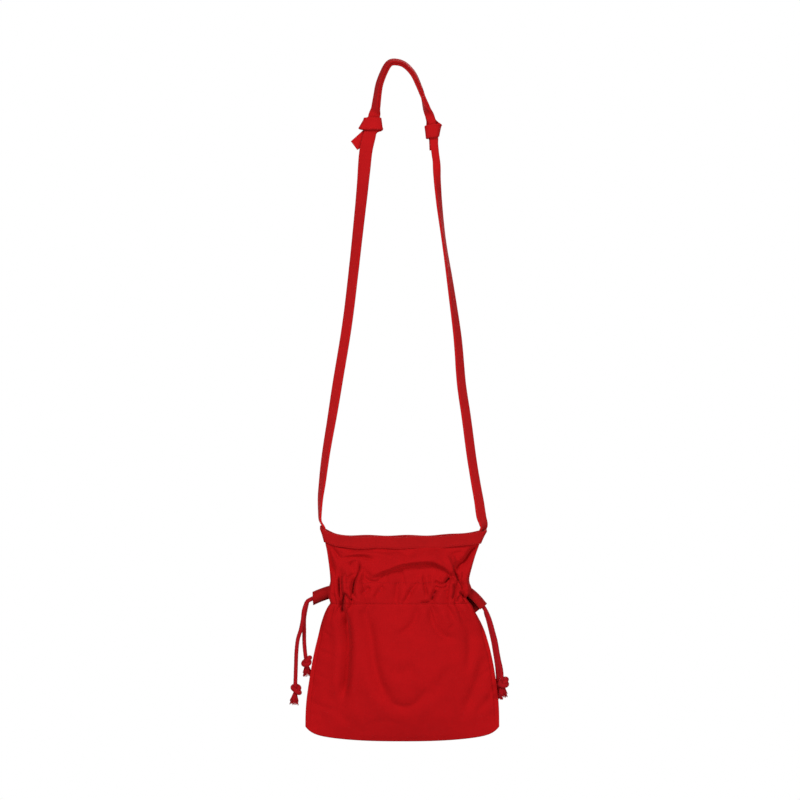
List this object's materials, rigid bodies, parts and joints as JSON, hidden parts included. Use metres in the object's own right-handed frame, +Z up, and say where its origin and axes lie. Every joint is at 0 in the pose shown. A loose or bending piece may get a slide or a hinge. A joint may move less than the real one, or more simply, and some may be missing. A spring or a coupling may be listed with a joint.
{
  "type": "drawstring pouch",
  "caption": "Flat cloth pouch with a gathered neck, knotted drawcords in side sleeves, a taped mouth and a long shoulder strap whose ends are tied round each other.",
  "frame": {"origin": "underside of the strap's arch, at its middle, where a hook or a shoulder carries the pouch", "axes": "+Z up along the hanging strap, -Y out of the pouch's front, +X to the right seen from the front"},
  "size_m": [0.2478, 0.0486, 0.786],
  "materials": {
    "pouch_cloth": "matt woven cotton",
    "twill_tape": "matt twill-woven cotton",
    "cotton_cord": "matt twisted cotton"
  },
  "bodies": {
    "root": {"front_panel": "pouch_cloth", "back_panel": "pouch_cloth", "front_casing": "pouch_cloth", "back_casing": "pouch_cloth", "left_sleeve": "pouch_cloth", "right_sleeve": "pouch_cloth", "front_binding": "twill_tape", "back_binding": "twill_tape", "left_strap": "twill_tape", "right_strap": "twill_tape", "left_drawcord": "cotton_cord", "right_drawcord": "cotton_cord"}
  },
  "joints": []
}
